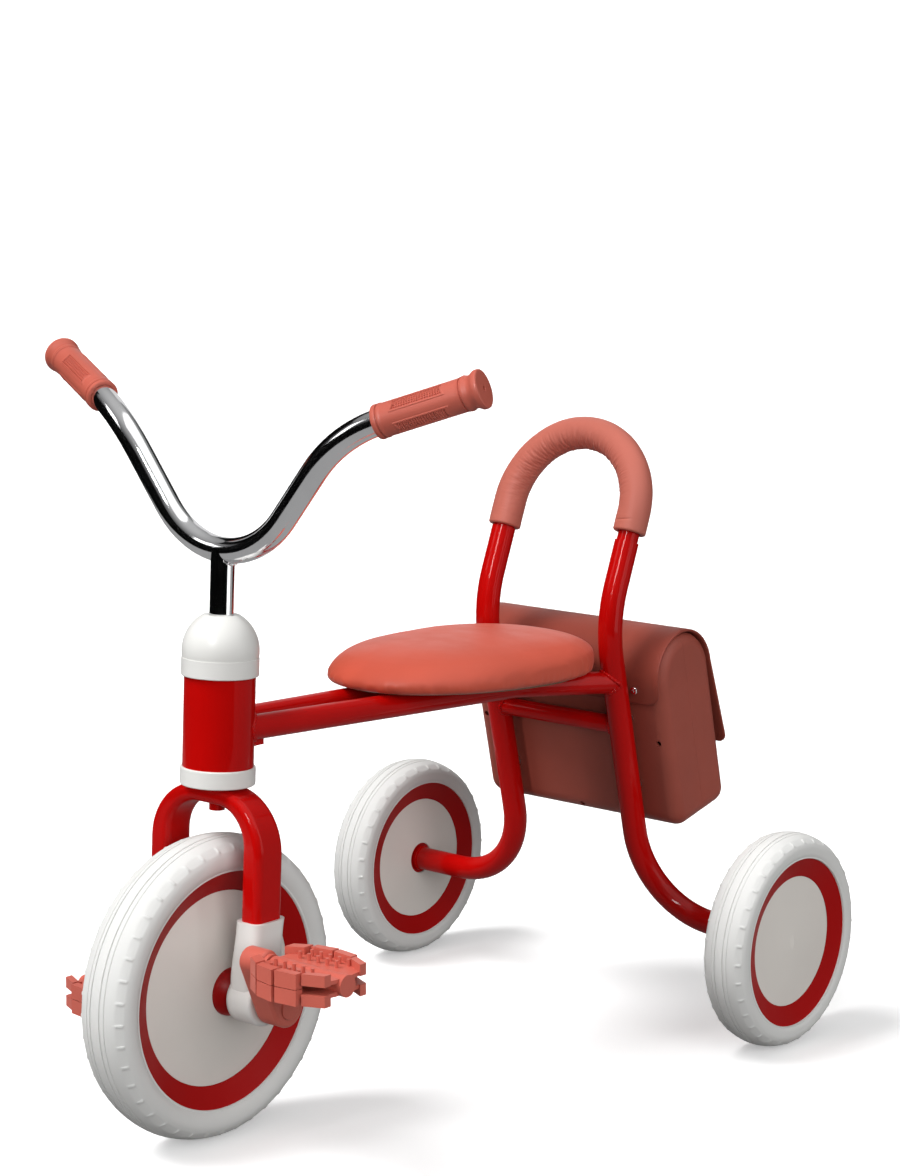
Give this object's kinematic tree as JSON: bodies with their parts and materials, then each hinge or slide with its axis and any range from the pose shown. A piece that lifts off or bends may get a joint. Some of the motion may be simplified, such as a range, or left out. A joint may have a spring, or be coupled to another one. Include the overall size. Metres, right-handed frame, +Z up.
{
  "type": "children's tricycle",
  "caption": "Children's tricycle with direct-drive pedals on the front wheel, padded seat, padded backrest hoop and a lidded rear trunk.",
  "frame": {"origin": "on the ground, under the middle of the tricycle's bounding box", "axes": "-Y forward, +X to the rider's left, +Z up"},
  "size_m": [0.484, 0.724, 0.6335],
  "materials": {
    "red_paint": "gloss powder coat",
    "chrome": "polished",
    "steel": "zinc plated",
    "white_plastic": "satin moulded",
    "red_plastic": "satin moulded",
    "disc_plastic": "satin moulded",
    "salmon_plastic": "satin moulded",
    "trunk_plastic": "satin moulded",
    "foam_tyre": "matt foam",
    "seat_cover": "smooth artificial leather",
    "foam_cover": "soft artificial leather",
    "grip_rubber": "matt",
    "board_wood": "plywood",
    "nylon": "plain"
  },
  "bodies": {
    "frame": {"head_tube": "red_paint", "lower_collar": "white_plastic", "lower_bush": "nylon", "upper_bush": "nylon", "head_cap": "white_plastic", "rear_frame_left": "red_paint", "rear_frame_right": "red_paint", "rear_axle_left": "steel", "rear_axle_right": "steel", "axle_washers": "steel", "axle_screws": "steel", "backrest_hoop": "red_paint", "backrest_foam": "foam_cover", "cross_brace": "red_paint", "seat_rail_left": "red_paint", "seat_rail_right": "red_paint", "rail_gusset": "red_paint", "seat_board": "board_wood", "seat_cushion": "seat_cover", "seat_bolts": "steel", "trunk_front_shell": "trunk_plastic", "trunk_rear_shell": "trunk_plastic", "trunk_bolts": "steel", "trunk_flap_tab": "trunk_plastic", "flap_screws": "chrome"},
    "lid": {"trunk_lid": "trunk_plastic"},
    "steering": {"fork": "red_paint", "steerer": "steel", "steerer_nut": "steel", "stem_bolt": "red_paint", "stem": "chrome", "handlebar": "chrome", "grip_left": "grip_rubber", "grip_right": "grip_rubber", "fork_shell_left": "white_plastic", "fork_shell_right": "white_plastic"},
    "front_wheel": {"front_tyre": "foam_tyre", "front_wheel_core": "red_plastic", "front_disc_left": "disc_plastic", "front_disc_right": "disc_plastic", "front_axle": "steel", "crank_left": "salmon_plastic", "crank_right": "salmon_plastic", "crank_caps": "salmon_plastic", "pedal_spindles": "steel"},
    "pedal_left": {"pedal_upper_left": "salmon_plastic", "pedal_lower_left": "salmon_plastic", "pedal_cap_left": "salmon_plastic"},
    "pedal_right": {"pedal_upper_right": "salmon_plastic", "pedal_lower_right": "salmon_plastic", "pedal_cap_right": "salmon_plastic"},
    "rear_wheel_left": {"rear_tyre_left": "foam_tyre", "rear_wheel_core_left": "red_plastic", "rear_disc_outer_left": "disc_plastic", "rear_disc_inner_left": "disc_plastic"},
    "rear_wheel_right": {"rear_tyre_right": "foam_tyre", "rear_wheel_core_right": "red_plastic", "rear_disc_outer_right": "disc_plastic", "rear_disc_inner_right": "disc_plastic"}
  },
  "joints": [
    {"name": "steering", "type": "hinge", "parent": "frame", "child": "steering", "pos_m": [0, -0.237, 0], "axis": [0, 0.04, 0.9992], "range_deg": [-45, 45]},
    {"name": "front_wheel_spin", "type": "hinge", "parent": "steering", "child": "front_wheel", "pos_m": [0, -0.237, 0.125], "axis": [1, 0, 0], "continuous": true},
    {"name": "pedal_left_spin", "type": "hinge", "parent": "front_wheel", "child": "pedal_left", "pos_m": [0, -0.26002, 0.16552], "axis": [1, 0, 0], "continuous": true},
    {"name": "pedal_right_spin", "type": "hinge", "parent": "front_wheel", "child": "pedal_right", "pos_m": [0, -0.21398, 0.08448], "axis": [1, 0, 0], "continuous": true},
    {"name": "rear_left_spin", "type": "hinge", "parent": "frame", "child": "rear_wheel_left", "pos_m": [0.22, 0.265, 0.097], "axis": [1, 0, 0], "continuous": true},
    {"name": "rear_right_spin", "type": "hinge", "parent": "frame", "child": "rear_wheel_right", "pos_m": [-0.22, 0.265, 0.097], "axis": [1, 0, 0], "continuous": true},
    {"name": "lid_hinge", "type": "hinge", "parent": "frame", "child": "lid", "pos_m": [0, 0.22892, 0.34504], "axis": [1, 0, 0], "range_deg": [0, 60]}
  ]
}
